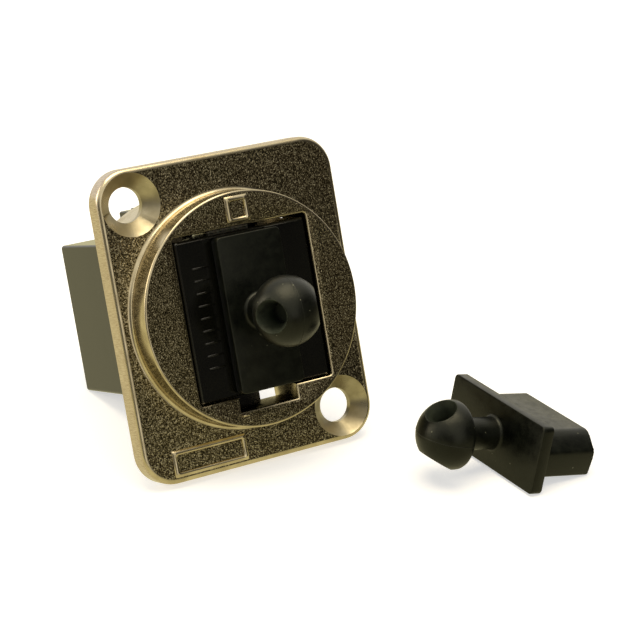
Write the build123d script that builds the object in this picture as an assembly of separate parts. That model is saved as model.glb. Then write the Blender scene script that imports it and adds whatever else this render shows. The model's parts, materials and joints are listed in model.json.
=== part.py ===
from build123d import *
import os
from math import atan2, cos, degrees, radians

# Panel feedthrough in a D-size metal frame: a socket at each end of a snap-in insert, a rubber
# dust plug in the front socket and a spare one beside it.
#
# Product frame, mm: X to the right seen from the front, Y back through the panel, Z up.  Y = 0 is
# the rear face of the flange, which seats on the panel.  At the end the product is leant back on
# its flange and on the insert's rear edge, as it rests on a table, and the spare plug lies there too.

# --- Panel frame (zinc die casting) ---
flange_width = 26.0
flange_height = 31.0
flange_thickness = 2.0
flange_corner = 3.4
flange_edge_round = 0.4     # cut as a chamfer, like the boss edge and root
boss_diameter = 23.2
boss_height = 3.1
boss_edge_round = 0.25
boss_root_cove = 0.35
panel_hole_diameter = 24.0
seat_relief = 0.2           # the rear face is lower inside the panel hole, clear of its burr
opening_width = 14.7
opening_height = 16.4
opening_corner = 0.3
screw_spacing_x = 19.0
screw_spacing_z = 24.0
screw_hole_diameter = 3.5
countersink_diameter = 6.2
countersink_angle = 90.0
hook_notch_width = 6.4
hook_notch_depth = 1.45
frame_lip = 4.7             # front lip that hides the latch channel
key_width = 4.5             # key under the lip, just above the insert
key_front = 2.9             # behind the frame's front
key_gap = 0.12
key_draft = 0.25
latch_channel_width = 5.0
latch_channel_height = 2.1  # above the opening
guard_length = 10.5         # half-round guard over the latch, behind the flange
catch_rib_length = 1.35
catch_rib_drop = 0.7

# --- Insert housings (black moulding) ---
insert_recess = 0.1         # face behind the frame's front
insert_drop = 0.12          # insert centre below the frame's centre
insert_height_play = 0.56   # in the opening
face_side_play = 0.2
body_width = 14.7
body_length = 23.05         # behind the flange's rear face
face_corner = 0.35
body_corner = 0.35
face_edge_chamfer = 0.2
rear_edge_chamfer = 0.2
face_wall = 1.6
side_wall = 1.0
sleeve_wall = 0.8
housing_joint_gap = 0.04
stop_rib_height = 0.6
stop_rib_length = 1.4
stop_rib_width = 8.0
rail_gap = 0.1              # top rails, below the guard
rail_setback = 0.3
seat_gap = 0.05             # between pieces that seat on each other
hook_width = 3.0
hook_length = 1.3
hook_reach = 2.3            # below the insert
snap_width = 6.0
snap_thickness = 1.0
snap_reach = 3.4
snap_barb = 0.5
snap_barb_length = 1.3

# --- Latch arm ---
latch_width = 4.6
latch_thickness = 0.85
latch_root_radius = 0.25
latch_root_setback = 5.3    # hinge line behind the frame's front face
latch_rise_end = 4.2        # where the arm levels out, behind the flange's rear face
latch_gap_under_rib = 0.1
catch_height = 0.45
catch_length = 0.9
catch_ramp = 1.0
catch_play = 0.15
thumb_tab_length = 6.2
thumb_tab_height = 1.0
thumb_ramp = 1.0
thumb_ridge_count = 4
thumb_ridge_height = 0.18
thumb_ridge_setback = 1.0   # from the tab's sides
thumb_corner_round = 0.25

# --- Sockets (stepped-D, 19 contacts, one at each end) ---
socket_length_wide = 14.0
socket_length_narrow = 10.1
socket_shoulder_length = 12.0
socket_width = 4.55
socket_wide_from = 0.55     # the wide part reaches this far past the middle
socket_shoulder_drop = 0.45
socket_side_draft = 0.3
socket_corner = 0.3
shell_thickness = 0.3
shell_recess = 0.1
shell_depth = 10.6
shell_fit = 0.05
core_fit = 0.15             # of the square-cornered core inside the shell
spring_slot = 0.25
spring_width = 1.6
spring_length = 4.0
spring_spacing = 5.6
spring_setback = 2.2
leg_width = 1.2
leg_length = 1.5
tongue_length = 10.4
tongue_thickness = 1.65
tongue_setback = 1.6
tongue_nose = 0.3
insulator_base_from = 7.4
insulator_base_length = 1.6
spacer_length = 1.4
contact_pitch = 1.0
contact_width = 0.42
contact_thickness = 0.15
contact_setback = 0.7       # behind the tongue's nose
contact_slot_fit = 0.02
contact_tail = 1.7
wide_contact_count = 10
narrow_contact_count = 9
solder_length = 0.9
solder_height = 0.14

# --- Circuit board and its shields ---
board_thickness = 1.0
board_fit = 0.05            # between the board's edges and the shields
shield_thickness = 0.25
shield_width = 6.4
shield_fit = 0.15           # above and below the shields, inside the housings
shield_split = 0.15

# --- Dust plug (black rubber) ---
plug_flange_length = 15.3
plug_flange_width = 6.95
plug_flange_thickness = 1.25
plug_flange_corner = 0.5
plug_flange_chamfer = 0.15
plug_depth = 6.3
plug_fit = 0.12
plug_tip_chamfer = 0.25
plug_seat_gap = 0.35        # the fitted plug stands a little proud of the insert
plug_slot_fit = 0.25
neck_diameter = 3.5
neck_flare_diameter = 4.5
neck_flare_height = 0.7
ball_diameter = 6.86
ball_reach = 5.1            # ball's centre in front of the plug's flange
ball_hole_diameter = 2.15
ball_hole_mouth = 3.3
ball_hole_depth = 3.6
ball_hole_cone_depth = 0.75
ball_hole_angle = 43.0      # from the plug's axis, to the narrow side
ball_flat_angle = 65.0      # from the plug's axis, to the wide side
ball_flat_distance = 2.9    # from the ball's centre

# --- Spare plug's place on the table, seen from above ---
spare_x = 20.36
spare_y = -18.4
spare_turn = 0.5

# --- Places that follow from the sizes above ---
frame_front = -(flange_thickness + boss_height)
insert_front = frame_front + insert_recess
insert_middle = (insert_front + body_length) / 2
insert_height = opening_height - insert_height_play
face_width = opening_width - 2 * face_side_play
insert_top = insert_height / 2 - insert_drop
insert_bottom = -insert_height / 2 - insert_drop
opening_top = opening_height / 2
shell_front = insert_front + shell_recess
shell_back = shell_front + shell_depth
board_front = shell_back + seat_gap
tongue_front = shell_front + tongue_setback
chamber_height = socket_length_wide + 2 * (shell_thickness + shell_fit)
shield_height = chamber_height - 2 * shield_fit
board_height = shield_height - 2 * (shield_thickness + board_fit)
base_front = shell_front + insulator_base_from
base_back = base_front + insulator_base_length
spacer_front = base_back + seat_gap
channel_top = opening_top + latch_channel_height
rib_bottom = channel_top - catch_rib_drop
rib_front = guard_length - catch_rib_length
arm_top = rib_bottom - latch_gap_under_rib
latch_axis_y = frame_front + latch_root_setback
latch_axis_z = insert_top + seat_gap + latch_root_radius


def slab(outline, front, back):
    # A sketch of the front view, made solid from Y = front to Y = back.
    return Pos(0, back, 0) * extrude(Plane.XZ * outline, back - front)


def side_profile(points, width):
    # A closed outline of (Y, Z) points, made solid across the middle.
    return extrude(Plane.YZ * make_face(Polyline(*points, close=True)), width / 2, both=True)


def socket_outline(grow=0.0, rounded=True):
    # Inside of the stepped-D socket: wide side towards +X, narrow side towards -X.
    half = [
        (socket_width / 2, socket_length_wide / 2 - socket_side_draft),
        (socket_side_draft, socket_length_wide / 2),
        (-socket_wide_from, socket_length_wide / 2),
        (-socket_wide_from - socket_shoulder_drop, socket_shoulder_length / 2),
        (-socket_width / 2, socket_length_narrow / 2),
    ]
    points = half + [(x, -z) for x, z in reversed(half)]
    outline = make_face(Polyline(*points, close=True))
    if grow:
        outline = offset(outline, grow, kind=Kind.INTERSECTION)
    if rounded:
        outline = fillet(outline.vertices(), socket_corner + max(grow, 0))
    return outline


def at_rear(front_piece):
    # The rear socket is the front one turned round about the insert's middle.
    return mirror(front_piece, about=Plane.XZ.offset(-insert_middle))


def dropped(piece):
    # The insert sits a little below the frame's centre.
    return Pos(0, 0, -insert_drop) * piece


# ---------------------------------------------------------------- panel frame
def panel_frame():
    flange = slab(RectangleRounded(flange_width, flange_height, flange_corner), -flange_thickness, 0)
    flange = chamfer(flange.faces().sort_by(Axis.Y)[0].edges(), flange_edge_round)
    flange -= slab(Circle(panel_hole_diameter / 2), -seat_relief, 0)
    boss = slab(Circle(boss_diameter / 2), frame_front, -flange_thickness)
    boss = chamfer(boss.faces().sort_by(Axis.Y)[0].edges(), boss_edge_round)
    root = Pos(0, -flange_thickness - boss_root_cove / 2, 0) * Rot(X=90) * Cone(
        boss_diameter / 2 + boss_root_cove, boss_diameter / 2, boss_root_cove)
    frame = flange + boss + root

    # Half-round guard behind the flange, over the latch
    guard = slab(Circle(boss_diameter / 2), -seat_relief, guard_length)
    guard_room = Pos(0, guard_length / 2, opening_top + boss_diameter / 4)
    frame += guard & guard_room * Box(opening_width, 2 * guard_length, boss_diameter / 2)

    opening = RectangleRounded(opening_width, opening_height, opening_corner)
    frame -= slab(opening, frame_front, 0)
    notch_z = -opening_height / 2 - hook_notch_depth / 2
    notch = Rectangle(hook_notch_width, hook_notch_depth + 2 * opening_corner)
    frame -= slab(Pos(0, notch_z + opening_corner) * notch, frame_front, 0)

    # Latch channel: hidden behind the front lip, and lowered at its rear end by the catch rib
    channel = Pos(0, opening_top) * Rectangle(latch_channel_width, 2 * latch_channel_height)
    frame -= slab(channel, frame_front + frame_lip, rib_front)
    low_channel = Pos(0, opening_top) * Rectangle(latch_channel_width, 2 * (rib_bottom - opening_top))
    frame -= slab(low_channel, rib_front, guard_length)

    # Key: a bar under the lip, its front face drafted
    key_low = insert_top + key_gap
    frame += side_profile([
        (frame_front + key_front + key_draft, opening_top + latch_channel_height),
        (frame_front + key_front + key_draft, opening_top),
        (frame_front + key_front, key_low),
        (frame_front + frame_lip, key_low),
        (frame_front + frame_lip, opening_top + latch_channel_height),
    ], key_width)

    # Two countersunk screw holes on one diagonal
    screw = CounterSinkHole(screw_hole_diameter / 2, countersink_diameter / 2,
                            flange_thickness, countersink_angle)
    for side in (-1, 1):
        place = Pos(side * screw_spacing_x / 2, -flange_thickness, -side * screw_spacing_z / 2)
        frame -= place * Rot(X=90) * screw
    return frame


# ------------------------------------------------------------ insert housings
def housing_blank(front, back, width, corner):
    return slab(RectangleRounded(width, insert_height, corner), front, back)


def housing_inside():
    # Room inside the front half: the socket's bore, a chamber for the board, and cored-out sides.
    shell_bore = slab(socket_outline(shell_thickness + shell_fit), insert_front, board_front)
    chamber = slab(Rectangle(body_width - 2 * side_wall, chamber_height), board_front, insert_middle)
    inside = shell_bore + chamber
    sleeve = socket_width / 2 + shell_thickness + sleeve_wall
    core_width = body_width / 2 - side_wall - sleeve
    core = Rectangle(core_width, insert_height - 4 * side_wall)
    for side in (-1, 1):
        core_x = side * (sleeve + core_width / 2)
        inside += slab(Pos(core_x, 0) * core, insert_front + face_wall, board_front)
    return inside


def front_housing():
    face = housing_blank(insert_front, 0, face_width, face_corner)
    face = chamfer(face.faces().sort_by(Axis.Y)[0].edges(), face_edge_chamfer)
    body = housing_blank(0, insert_middle - housing_joint_gap / 2, body_width, body_corner)
    housing = face + body - housing_inside()

    # Shoulders that stop on the flange's rear face
    for side in (-1, 1):
        rib_x = side * (body_width + stop_rib_height) / 2
        rib = Rectangle(stop_rib_height, stop_rib_width)
        housing += slab(Pos(rib_x, 0) * rib, seat_gap - seat_relief, stop_rib_length)

    # Rails on top, one each side of the latch, that fill the room under the guard
    rail_inner = latch_channel_width / 2 + rail_gap
    rail_outer = body_width / 2
    rail_top = opening_top + insert_drop - rail_gap
    rail_height = rail_top - insert_height / 2
    for side in (-1, 1):
        rail = Rectangle(rail_outer - rail_inner, 2 * rail_height)
        rail_x = side * (rail_outer + rail_inner) / 2
        housing += slab(Pos(rail_x, insert_height / 2) * rail, rail_setback, insert_middle - rail_setback)

    # Fixed hook below, which reaches behind the flange through the notch
    bottom = -insert_height / 2
    hook_front = seat_gap - seat_relief
    housing += side_profile([
        (-hook_length, bottom),
        (hook_front, bottom - hook_notch_depth / 2),
        (hook_front, bottom - hook_reach),
        (hook_length, bottom - hook_reach),
        (2 * hook_length, bottom),
    ], hook_width)

    # Snap arms that hold the rear housing
    for side in (-1, 1):
        inner = side * (body_width / 2 - side_wall - seat_gap - snap_thickness / 2)
        arm = Rectangle(snap_thickness, snap_width)
        housing += slab(Pos(inner, 0) * arm, insert_middle - snap_reach, insert_middle + snap_reach)
        bar = Rectangle(2 * snap_barb, snap_width - snap_barb)
        barb_back = insert_middle + snap_reach
        housing += slab(Pos(inner + side * snap_thickness / 2, 0) * bar,
                        barb_back - snap_barb_length, barb_back)
        root_width = snap_thickness + 2 * seat_gap
        housing += slab(Pos(inner + side * seat_gap, 0) * Rectangle(root_width, snap_width),
                        insert_middle - snap_reach, insert_middle - snap_reach + snap_thickness)
    return dropped(housing)


def rear_housing():
    body = housing_blank(insert_middle + housing_joint_gap / 2, body_length, body_width, body_corner)
    body = chamfer(body.faces().sort_by(Axis.Y)[-1].edges(), rear_edge_chamfer)
    housing = body - at_rear(housing_inside())
    window = Rectangle(2 * side_wall + 2 * snap_barb, snap_width)
    window_back = insert_middle + snap_reach + seat_gap
    for side in (-1, 1):
        place = Pos(side * body_width / 2, 0)
        housing -= slab(place * window, window_back - snap_barb_length - 2 * seat_gap, window_back)
    return dropped(housing)


# ------------------------------------------------------------------ latch arm
def latch_arm():
    arm_low = arm_top - latch_thickness
    catch_back = rib_front - catch_play
    catch_front = catch_back - catch_length
    tab_front = guard_length + catch_play
    tab_back = tab_front + thumb_ramp + thumb_tab_length
    tab_top = arm_top + thumb_tab_height
    arm = side_profile([
        (latch_axis_y, latch_axis_z + latch_root_radius),
        (latch_rise_end, arm_top),
        (catch_front - catch_ramp, arm_top),
        (catch_front, arm_top + catch_height),
        (catch_back, arm_top + catch_height),
        (catch_back, arm_top),
        (tab_front, arm_top),
        (tab_front + thumb_ramp, tab_top),
        (tab_back, tab_top),
        (tab_back, tab_top - latch_thickness),
        (tab_front + thumb_ramp + latch_thickness, tab_top - latch_thickness),
        (tab_front + latch_thickness, arm_low),
        (latch_rise_end, arm_low),
        (latch_axis_y, latch_axis_z - latch_root_radius),
    ], latch_width)
    root = Pos(0, latch_axis_y, latch_axis_z) * Rot(Y=90) * Cylinder(latch_root_radius, latch_width)
    arm += root
    tip = arm.edges().filter_by(Axis.Z).group_by(Axis.Y)[-1]
    arm = fillet(tip, 0.35 * latch_thickness)
    tab_sides = arm.edges().filter_by(Axis.Y).group_by(Axis.Z)[-1]
    arm = fillet(tab_sides, thumb_corner_round)

    # Grip ridges across the thumb tab
    ridge_pitch = thumb_tab_length / (thumb_ridge_count + 1)
    for i in range(thumb_ridge_count):
        ridge_y = tab_front + thumb_ramp + ridge_pitch * (i + 1)
        arm += side_profile([
            (ridge_y - thumb_ridge_height, tab_top),
            (ridge_y, tab_top + thumb_ridge_height),
            (ridge_y + thumb_ridge_height, tab_top),
        ], latch_width - 2 * thumb_ridge_setback)
    return arm


# -------------------------------------------------------------------- sockets
def socket_shell():
    shell = slab(socket_outline(shell_thickness) - socket_outline(), shell_front, shell_back)

    # Two spring fingers in each broad side, freed by a U-shaped slot
    finger_front = shell_front + spring_setback
    slot_size = spring_width + 2 * spring_slot
    finger_middle = finger_front + spring_length / 2
    slot = Box(2 * shell_thickness, spring_length + spring_slot, slot_size)
    slot -= Pos(0, -spring_slot / 2, 0) * Box(2 * shell_thickness, spring_length, spring_width)
    for side in (-1, 1):
        for z in (-spring_spacing / 2, spring_spacing / 2):
            place = Pos(side * (socket_width + shell_thickness) / 2, finger_middle, z)
            shell -= place * slot

    # Solder legs that run on beside the board's edges
    leg_z = (socket_length_wide + shell_thickness) / 2
    for side in (-1, 1):
        leg = Pos(0, side * leg_z) * Rectangle(leg_width, shell_thickness)
        shell += slab(leg, shell_back - shell_thickness, shell_back + leg_length)
    return dropped(shell)


def contact_places(count):
    return [contact_pitch * (i - (count - 1) / 2) for i in range(count)]


def contact_row(side, count):
    # Flat contacts on one face of the tongue; each steps in behind the base to lie on the board.
    outer = tongue_thickness / 2
    on_board = board_thickness / 2
    start = tongue_front + contact_setback
    step = board_front + seat_gap
    profile = [
        (outer, start),
        (outer - contact_thickness, start),
        (outer - contact_thickness, step - contact_thickness),
        (on_board, step),
        (on_board, step + contact_tail),
        (on_board + contact_thickness, step + contact_tail),
        (on_board + contact_thickness, step + contact_thickness / 2),
        (outer, step - contact_thickness / 2),
    ]
    face = make_face(Polyline(*[(side * x, y) for x, y in profile], close=True))
    contact = extrude(face, contact_width / 2, both=True)
    row = [Pos(0, 0, z) * contact for z in contact_places(count)]
    return dropped(Compound(row))


def contact_slots(front, back):
    # Grooves for both rows of contacts.
    slots = []
    groove_depth = contact_thickness + contact_slot_fit
    groove_width = contact_width + 2 * contact_slot_fit
    for side, count in ((1, wide_contact_count), (-1, narrow_contact_count)):
        x = side * (tongue_thickness / 2 - groove_depth / 2 + contact_slot_fit)
        for z in contact_places(count):
            groove = Rectangle(groove_depth, groove_width)
            slots.append(slab(Pos(x, z) * groove, front, back))
    return slots


def socket_insulator():
    tongue = slab(Rectangle(tongue_thickness, tongue_length), tongue_front, base_front)
    nose = tongue.faces().sort_by(Axis.Y)[0].edges()
    tongue = chamfer(nose, tongue_nose)
    base = slab(socket_outline(-core_fit, rounded=False), base_front, base_back)
    slots = contact_slots(tongue_front + contact_setback - contact_slot_fit, base_back)
    return dropped(tongue + base - slots)


def contact_spacer():
    # Behind the insulator's base, with one slot for each row of contacts.
    spacer_back = spacer_front + spacer_length
    spacer = slab(socket_outline(-core_fit, rounded=False), spacer_front, spacer_back)
    slot_depth = contact_thickness + 2 * contact_slot_fit
    for side, count in ((1, wide_contact_count), (-1, narrow_contact_count)):
        slot_x = side * (tongue_thickness - contact_thickness) / 2
        slot = Rectangle(slot_depth, count * contact_pitch)
        spacer -= slab(Pos(slot_x, 0) * slot, spacer_front, spacer_back)
    return dropped(spacer)


def solder_joints():
    # One small wedge of solder at the end of each contact tail.
    start = board_front + seat_gap + contact_tail
    base = board_thickness / 2
    joints = []
    for side, count in ((1, wide_contact_count), (-1, narrow_contact_count)):
        wedge = [(base, start), (base + solder_height, start), (base, start + solder_length)]
        face = make_face(Polyline(*[(side * x, y) for x, y in wedge], close=True))
        joint = extrude(face, contact_width / 2, both=True)
        joints += [Pos(0, 0, z) * joint for z in contact_places(count)]
    return dropped(Compound(joints))


# ------------------------------------------------------------ board and shields
def circuit_board():
    board_back = 2 * insert_middle - board_front
    board = Pos(0, (board_front + board_back) / 2, 0) * Box(
        board_thickness, board_back - board_front, board_height)
    return dropped(board)


def shield_half(side):
    # Stamped tray over one face of the board, open at both ends.
    shield_front = shell_back + leg_length + seat_gap
    outer = Rectangle(shield_width, shield_height)
    inner = Rectangle(shield_width - 2 * shield_thickness, shield_height - 2 * shield_thickness)
    keep_width = shield_width / 2 - shield_split
    keep_x = side * (shield_split + keep_width / 2)
    half = (outer - inner) & Pos(keep_x, 0) * Rectangle(keep_width, shield_height)
    return dropped(slab(half, shield_front, 2 * insert_middle - shield_front))


# ------------------------------------------------------------------ dust plug
def dust_plug():
    # Modelled at the middle of its seat: the flange's back face is at Y = 0, the ball towards -Y
    # and the narrow side of its body towards -X.
    front = -plug_flange_thickness
    flange = slab(RectangleRounded(plug_flange_width, plug_flange_length, plug_flange_corner), front, 0)
    flange = chamfer(flange.faces().sort_by(Axis.Y)[0].edges(), plug_flange_chamfer)
    body = slab(socket_outline(-plug_fit, rounded=False), 0, plug_depth)
    body = chamfer(body.faces().sort_by(Axis.Y)[-1].edges(), plug_tip_chamfer)
    slot_front = plug_seat_gap + shell_recess + tongue_setback - plug_slot_fit
    slot = Rectangle(tongue_thickness + 2 * plug_slot_fit, tongue_length + 2 * plug_slot_fit)
    body -= slab(slot, slot_front, plug_depth)

    # Neck with a flared root, then the ball
    neck = slab(Circle(neck_diameter / 2), front - ball_reach, front)
    flare = Pos(0, front - neck_flare_height / 2, 0) * Rot(X=90) * Cone(
        neck_flare_diameter / 2, neck_diameter / 2, neck_flare_height)
    ball_centre = Pos(0, front - ball_reach, 0)
    ball = Rot(X=90) * Sphere(ball_diameter / 2)

    # Hole for a cord, slanted to the narrow side, with a wide mouth
    drill = Rot(Z=-ball_hole_angle) * Rot(X=90)
    hole = drill * Pos(0, 0, ball_diameter / 2 - ball_hole_depth / 2 + ball_hole_cone_depth / 2) * Cylinder(
        ball_hole_diameter / 2, ball_hole_depth + ball_hole_cone_depth)
    mouth = drill * Pos(0, 0, ball_diameter / 2 - ball_hole_cone_depth / 2) * Cone(
        ball_hole_diameter / 2, ball_hole_mouth / 2, ball_hole_cone_depth)

    # Flat on the ball's wide side
    flat = Rot(Z=ball_flat_angle) * Pos(0, -ball_flat_distance - ball_diameter / 2, 0) * Box(
        ball_diameter, ball_diameter, ball_diameter)
    grip = neck + ball_centre * ball - ball_centre * hole - ball_centre * mouth - ball_centre * flat
    return flange + body + flare + grip


def fitted_plug():
    return Pos(0, insert_front - plug_seat_gap, -insert_drop) * dust_plug()


# ---------------------------------------------------- the product on the table
def rest_lean():
    # The product leans back until the insert's rear edge meets the table.
    return degrees(atan2(flange_height / 2 + insert_bottom, body_length - rear_edge_chamfer))


def on_table(piece):
    return Rot(X=-rest_lean()) * piece


def table_height():
    return -flange_height / 2 * cos(radians(rest_lean()))


def spare_plug():
    # It lies on its flange's long edge and its body's tip, narrow side up and ball to the left.
    flange_reach = plug_flange_width / 2
    body_reach = socket_width / 2 - plug_fit
    tilt = atan2(flange_reach - body_reach, plug_depth)
    lying = Plane(origin=(0, 0, 0), x_dir=(0, 0, -1), z_dir=(0, -1, 0)).location
    place = Pos(spare_x, spare_y, table_height() + flange_reach * cos(tilt))
    return place * Rot(Z=-spare_turn) * Rot(Y=degrees(tilt)) * lying * dust_plug()


product = {
    "panel_frame": panel_frame(),
    "front_housing": front_housing(),
    "rear_housing": rear_housing(),
    "latch_arm": latch_arm(),
    "circuit_board": circuit_board(),
    "left_shield": shield_half(-1),
    "right_shield": shield_half(1),
    "fitted_dust_plug": fitted_plug(),
}
socket = {
    "socket_shell": socket_shell(),
    "insulator": socket_insulator(),
    "contact_spacer": contact_spacer(),
    "wide_side_contacts": contact_row(1, wide_contact_count),
    "narrow_side_contacts": contact_row(-1, narrow_contact_count),
    "solder_joints": solder_joints(),
}
for name, piece in socket.items():
    product["front_" + name] = piece
    product["rear_" + name] = at_rear(piece)

os.makedirs("parts", exist_ok=True)
for name, piece in product.items():
    export_step(on_table(piece), "parts/" + name + ".step")
export_step(spare_plug(), "parts/spare_dust_plug.step")
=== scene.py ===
import json
import math

import bmesh
import bpy
from mathutils import Matrix, Vector


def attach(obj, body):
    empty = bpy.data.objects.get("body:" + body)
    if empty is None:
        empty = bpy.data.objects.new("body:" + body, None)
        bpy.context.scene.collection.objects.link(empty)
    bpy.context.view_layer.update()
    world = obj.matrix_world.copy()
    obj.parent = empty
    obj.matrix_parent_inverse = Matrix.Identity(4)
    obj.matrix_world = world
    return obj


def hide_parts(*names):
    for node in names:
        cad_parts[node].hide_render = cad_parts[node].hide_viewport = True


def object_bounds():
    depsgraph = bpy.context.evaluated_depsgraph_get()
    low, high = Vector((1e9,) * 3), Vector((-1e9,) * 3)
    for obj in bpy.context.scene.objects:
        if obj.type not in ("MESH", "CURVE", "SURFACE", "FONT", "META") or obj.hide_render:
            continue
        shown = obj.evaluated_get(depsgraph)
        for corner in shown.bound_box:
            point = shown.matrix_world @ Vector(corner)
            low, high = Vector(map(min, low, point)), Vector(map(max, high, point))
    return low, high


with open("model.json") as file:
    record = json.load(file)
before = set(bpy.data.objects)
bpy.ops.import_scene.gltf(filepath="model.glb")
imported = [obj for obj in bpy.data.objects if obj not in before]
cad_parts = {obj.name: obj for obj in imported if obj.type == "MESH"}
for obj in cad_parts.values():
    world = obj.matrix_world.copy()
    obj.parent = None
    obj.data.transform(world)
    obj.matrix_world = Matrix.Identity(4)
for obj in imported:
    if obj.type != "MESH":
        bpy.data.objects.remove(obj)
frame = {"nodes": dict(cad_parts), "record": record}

cadBox = [list(corner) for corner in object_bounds()]
nodes = frame["nodes"]
mounts = {mount["name"]: mount for mount in frame["record"]["mounts"]}
tableZ = cadBox[0][2]

mm = 0.001
close = 0.01              # mm, near enough to count as being at a place
over = 1.0                # mm that a cutter runs past what it cuts
overlap = 0.5             # mm that an added block runs into what carries it
weld = 0.002              # mm between points that are one point

# the module leans back on the table, and the screw holes point along its own axis
screwAxis = Vector(mounts["screw_holes"]["axis"])
lean = math.atan2(screwAxis.z, -screwAxis.y)
leanTurn = Matrix.Rotation(-lean, 4, "X")


# working helpers: they take millimetres, in the module's own upright axes
def selectOnly(obj):
    bpy.ops.object.select_all(action="DESELECT")
    obj.select_set(True)
    bpy.context.view_layer.objects.active = obj


def pick(obj, kind, test):
    # leaves the object in edit mode, with what passes the test selected
    selectOnly(obj)
    bpy.ops.object.mode_set(mode="EDIT")
    bpy.ops.mesh.select_mode(type=kind)
    bpy.ops.mesh.select_all(action="DESELECT")
    mesh = bmesh.from_edit_mesh(obj.data)
    for item in {"VERT": mesh.verts, "EDGE": mesh.edges, "FACE": mesh.faces}[kind]:
        item.select_set(bool(test(item)))
    mesh.select_flush_mode()
    bmesh.update_edit_mesh(obj.data)


def leaveEdit():
    bpy.ops.object.mode_set(mode="OBJECT")


def paintPicked(obj, slot):
    obj.active_material_index = slot
    bpy.ops.object.material_slot_assign()
    leaveEdit()


def edgeAlong(edge, axis):
    way = edge.verts[0].co - edge.verts[1].co
    return abs(way[axis]) > 0.999 * way.length


def middleOf(item):
    return sum((v.co for v in item.verts), Vector()) / len(item.verts) / mm


def edgeInFrontOf(y):
    return lambda edge: all(v.co.y / mm < y for v in edge.verts)


def addBox(name, low, high):
    low, high = Vector(low) * mm, Vector(high) * mm
    bpy.ops.object.select_all(action="DESELECT")
    bpy.ops.mesh.primitive_cube_add(size=1, location=(low + high) / 2)
    box = bpy.context.object
    box.name = name
    box.scale = high - low
    bpy.ops.object.transform_apply(location=True, rotation=True, scale=True)
    return box


def addDisc(name, radius, front, back):
    bpy.ops.object.select_all(action="DESELECT")
    bpy.ops.mesh.primitive_cylinder_add(
        vertices=128, radius=radius * mm, depth=(back - front) * mm,
        location=(0, (back + front) / 2 * mm, 0), rotation=(math.pi / 2, 0, 0))
    disc = bpy.context.object
    disc.name = name
    bpy.ops.object.transform_apply(location=True, rotation=True, scale=True)
    return disc


def roundEdges(obj, test, radius, segments, slot=-1):
    pick(obj, "EDGE", test)
    bpy.ops.mesh.bevel(offset=radius * mm, segments=segments, affect="EDGES", material=slot)
    leaveEdit()


def arc(centre, radius, start, end, steps):
    # points on an arc, angles in degrees
    turns = [math.radians(start + (end - start) * i / steps) for i in range(steps + 1)]
    return [(centre[0] + radius * math.cos(t), centre[1] + radius * math.sin(t)) for t in turns]


def lathe(name, profile, steps):
    # (radius, y) points, drawn by extruding one vertex, then spun about Y and capped
    bpy.ops.object.select_all(action="DESELECT")
    bpy.ops.mesh.primitive_plane_add(size=0.2 * mm, location=(profile[0][0] * mm, profile[0][1] * mm, 0))
    turned = bpy.context.object
    turned.name = name
    bpy.ops.object.transform_apply(location=True, rotation=True, scale=True)
    bpy.ops.object.mode_set(mode="EDIT")
    bpy.ops.mesh.select_mode(type="VERT")
    bpy.ops.mesh.select_all(action="SELECT")
    bpy.ops.mesh.merge(type="CENTER")
    for before, after in zip(profile, profile[1:]):
        step = ((after[0] - before[0]) * mm, (after[1] - before[1]) * mm, 0)
        bpy.ops.mesh.extrude_vertices_move(TRANSFORM_OT_translate={"value": step})
    bpy.ops.mesh.select_all(action="SELECT")
    bpy.ops.mesh.spin(steps=steps, angle=math.tau, center=(0, 0, 0), axis=(0, 1, 0))
    bpy.ops.mesh.select_all(action="SELECT")
    bpy.ops.mesh.remove_doubles(threshold=weld * mm)
    bpy.ops.mesh.select_all(action="DESELECT")
    bpy.ops.mesh.select_mode(type="EDGE")
    bpy.ops.mesh.select_non_manifold()
    bpy.ops.mesh.fill_holes(sides=0)
    bpy.ops.mesh.select_all(action="SELECT")
    bpy.ops.mesh.normals_make_consistent(inside=False)
    leaveEdit()
    return turned


def combine(obj, tool, operation):
    selectOnly(obj)
    boolean = obj.modifiers.new("boolean", "BOOLEAN")
    boolean.object = tool
    boolean.operation = operation
    boolean.solver = "EXACT"
    bpy.ops.object.modifier_apply(modifier=boolean.name)
    bpy.data.objects.remove(tool)


def move(obj, matrix):
    obj.matrix_world = matrix @ obj.matrix_world
    selectOnly(obj)
    bpy.ops.object.transform_apply(location=True, rotation=True, scale=True)


def turnAbout(axis, degrees):
    return Matrix.Rotation(math.radians(degrees), 4, axis)


def shift(x, y, z):
    return Matrix.Translation((x * mm, y * mm, z * mm))


def copyOf(obj, name):
    twin = obj.copy()
    twin.data = obj.data.copy()
    twin.name = name
    bpy.context.scene.collection.objects.link(twin)
    return twin


def smoothShade(obj, degrees):
    selectOnly(obj)
    bpy.ops.object.shade_smooth_by_angle(angle=math.radians(degrees))


def linearColour(hexText):
    parts = [int(hexText[i:i + 2], 16) / 255 for i in (0, 2, 4)]
    return [p / 12.92 if p <= 0.04045 else ((p + 0.055) / 1.055) ** 2.4 for p in parts] + [1.0]


# camera: it stands to the left of the module's front and looks down on it
view = {
    "aim": (7.40, -4.98, -1.19),
    "distance": 207.1,
    "azimuth": 30.81,
    "elevation": 22.48,
    "roll": -0.39,
    "lens": 117.3,
}


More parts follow.
